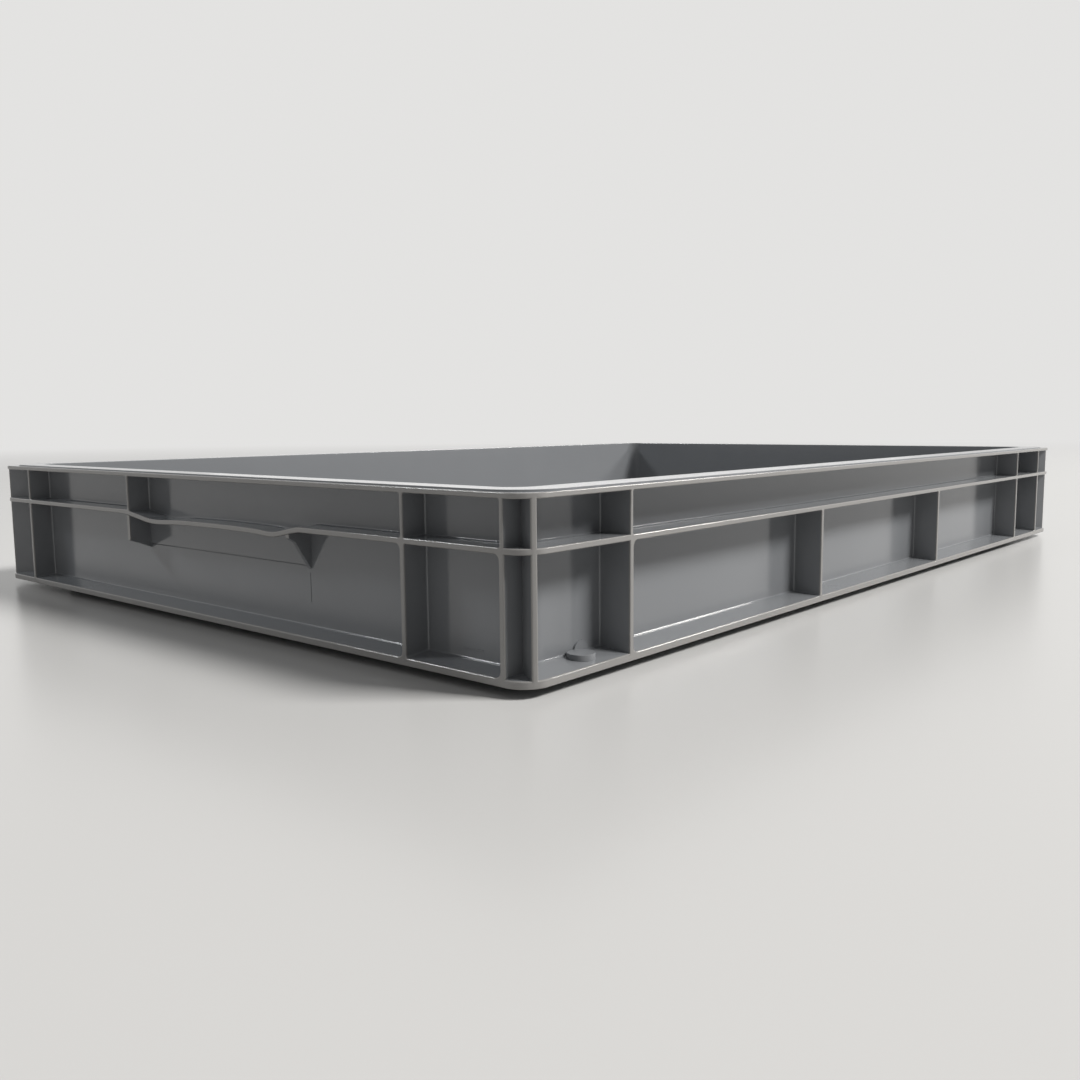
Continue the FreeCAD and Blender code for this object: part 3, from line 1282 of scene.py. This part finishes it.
@dataclass(frozen=True)
class PhotoCamera:
    """Camera at the photograph's place, in millimetres, radians and pixels of a square frame."""

    place: tuple[float, float, float] = (-533.032, -409.787, 89.699)
    turn: tuple[float, float, float] = (1.45367, -0.00738, -0.86759)
    focal: float = 1005.491
    centre: tuple[float, float] = (556.0, 540.0)
    frame: float = 1080.0
    sensor: float = 36.0
    clip: tuple[float, float] = (0.01, 100.0)

    def build(self) -> Object:
        """Makes the camera and sets it as the scene's.

        Returns:
            The camera.
        """
        data = bpy.data.cameras.new("photo_camera")
        data.sensor_width = self.sensor
        data.lens = self.focal / self.frame * data.sensor_width
        data.shift_x = (self.frame / 2 - self.centre[0]) / self.frame
        data.shift_y = (self.centre[1] - self.frame / 2) / self.frame
        data.clip_start, data.clip_end = self.clip
        camera = bpy.data.objects.new("photo_camera", data)
        bpy.context.scene.collection.objects.link(camera)
        tilt, roll, heading = self.turn
        turn = (Matrix.Rotation(heading, 4, "Z") @ Matrix.Rotation(tilt, 4, "X")
                @ Matrix.Rotation(roll, 4, "Z"))
        camera.matrix_world = Matrix.Translation(Vector(self.place) * MM) @ turn
        bpy.context.scene.camera = camera
        return camera


@dataclass(frozen=True)
class SoftLamp:
    """A soft lamp that looks at the tray, in metres and watts.

    One that isn't mirrored is left out of reflections, and one that is tray_only lights nothing
    but the tray.
    """

    name: str
    place: tuple[float, float, float]
    size: tuple[float, float]
    power: float
    colour: tuple[float, float, float] = (1.0, 1.0, 1.0)
    mirrored: bool = True
    tray_only: bool = False

    def build(self, tray: Object) -> Object:
        """Makes the lamp.

        Args:
            tray: the object that it lights alone if tray_only is set.

        Returns:
            The lamp.
        """
        data = bpy.data.lights.new(self.name, "AREA")
        data.shape = "RECTANGLE"
        data.size, data.size_y = self.size
        data.energy = self.power
        data.color = self.colour
        lamp = bpy.data.objects.new(self.name, data)
        bpy.context.scene.collection.objects.link(lamp)
        lamp.visible_glossy = self.mirrored
        if self.tray_only:
            lit = bpy.data.collections.new(f"lit_by_{self.name}")
            lit.objects.link(tray)
            lamp.light_linking.receiver_collection = lit
        lamp.location = self.place
        lamp.rotation_euler = (-Vector(self.place)).to_track_quat("-Z", "Y").to_euler()
        return lamp


@dataclass(frozen=True)
class SkyGlow:
    """Part of the dome that brightens round a direction, between two cosines to it."""

    axis: tuple[float, float, float]
    start: float
    full: float
    strength: float


@dataclass
class Studio:
    """Table, backdrop, lamps and camera."""

    table: PaleTable = field(default_factory=PaleTable)
    camera: PhotoCamera = field(default_factory=PhotoCamera)
    table_radius: float = 12.0
    table_steps: int = 96
    ambient: float = 0.03
    dome: tuple[SkyGlow, ...] = (
        SkyGlow((0.0, 0.0, 1.0), 0.2, 0.95, 0.25),
        SkyGlow((-0.9, -0.35, 0.15), 0.1, 0.9, 0.3),
    )
    lamps: tuple[SoftLamp, ...] = (
        SoftLamp("window", (1.9, -3.9, 4.3), (2.0, 1.5), 500.0, (1.0, 0.985, 0.965),
                 mirrored=False),
        SoftLamp("panel_right", (2.1, -1.2, 1.4), (0.8, 0.5), 42.0, (1.0, 0.97, 0.93),
                 tray_only=True),
        SoftLamp("panel_back", (-1.25, 1.67, 1.56), (0.5, 0.35), 18.0, (0.95, 0.98, 1.0),
                 tray_only=True),
        SoftLamp("panel_far", (2.7, 2.3, 0.85), (3.0, 0.9), 8.0, (1.0, 0.99, 0.98),
                 tray_only=True),
    )

    def floor(self) -> Object:
        """Makes the table as a wide disc.

        Returns:
            The table.
        """
        bm = bmesh.new()
        bmesh.ops.create_circle(bm, cap_ends=True, segments=self.table_steps,
                                radius=self.table_radius)
        floor = as_object(bm, "table")
        floor.data.materials.append(self.table.material())
        return floor

    def brightness(self, tree: NodeTree) -> NodeSocket:
        """Adds up the dome's light.

        Args:
            tree: the world's nodes.

        Returns:
            Its strength in each direction.
        """
        way = tree.nodes.new("ShaderNodeTexCoord").outputs["Generated"]
        total = None
        for glow in self.dome:
            dot = tree.nodes.new("ShaderNodeVectorMath")
            dot.operation = "DOT_PRODUCT"
            dot.inputs[1].default_value = Vector(glow.axis).normalized()
            tree.links.new(way, dot.inputs[0])
            level = tree.nodes.new("ShaderNodeMath")
            level.inputs[1].default_value = self.ambient
            tree.links.new(ramp(tree, dot.outputs["Value"], (glow.start, glow.full),
                                (0.0, glow.strength)), level.inputs[0])
            if total is not None:
                tree.links.new(total, level.inputs[1])
            total = level.outputs["Value"]
        return total

    def world(self) -> None:
        """Sets a dome, brighter overhead and on the near end's side, and the pale backdrop."""
        world = bpy.data.worlds.new("studio")
        bpy.context.scene.world = world
        world.use_nodes = True
        tree = world.node_tree
        shown = tree.nodes["Background"]
        shown.inputs["Color"].default_value = (*self.table.backdrop, 1)
        light = tree.nodes.new("ShaderNodeBackground")
        tree.links.new(self.brightness(tree), light.inputs["Strength"])
        mix = tree.nodes.new("ShaderNodeMixShader")
        tree.links.new(seen_rays(tree), mix.inputs["Fac"])
        tree.links.new(light.outputs["Background"], mix.inputs[1])
        tree.links.new(shown.outputs["Background"], mix.inputs[2])
        tree.links.new(mix.outputs["Shader"], tree.nodes["World Output"].inputs["Surface"])

    def build(self, tray: Object) -> None:
        """Makes everything round the tray.

        Args:
            tray: the finished tray.
        """
        self.world()
        self.floor()
        for lamp in self.lamps:
            lamp.build(tray)
        self.camera.build()
        bpy.context.scene.view_settings.view_transform = "Standard"


def main() -> None:
    """Builds the tray and the studio."""
    logging.basicConfig(level=logging.INFO, format="%(message)s")
    tray = Tray().build()
    tray.data.materials.clear()
    tray.data.materials.append(SatinPolypropylene().material())
    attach(tray, "root")
    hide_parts("container")
    LOG.info("%s: %d faces", tray.name, len(tray.data.polygons))
    Studio().build(tray)


if __name__ == "__main__":
    main()
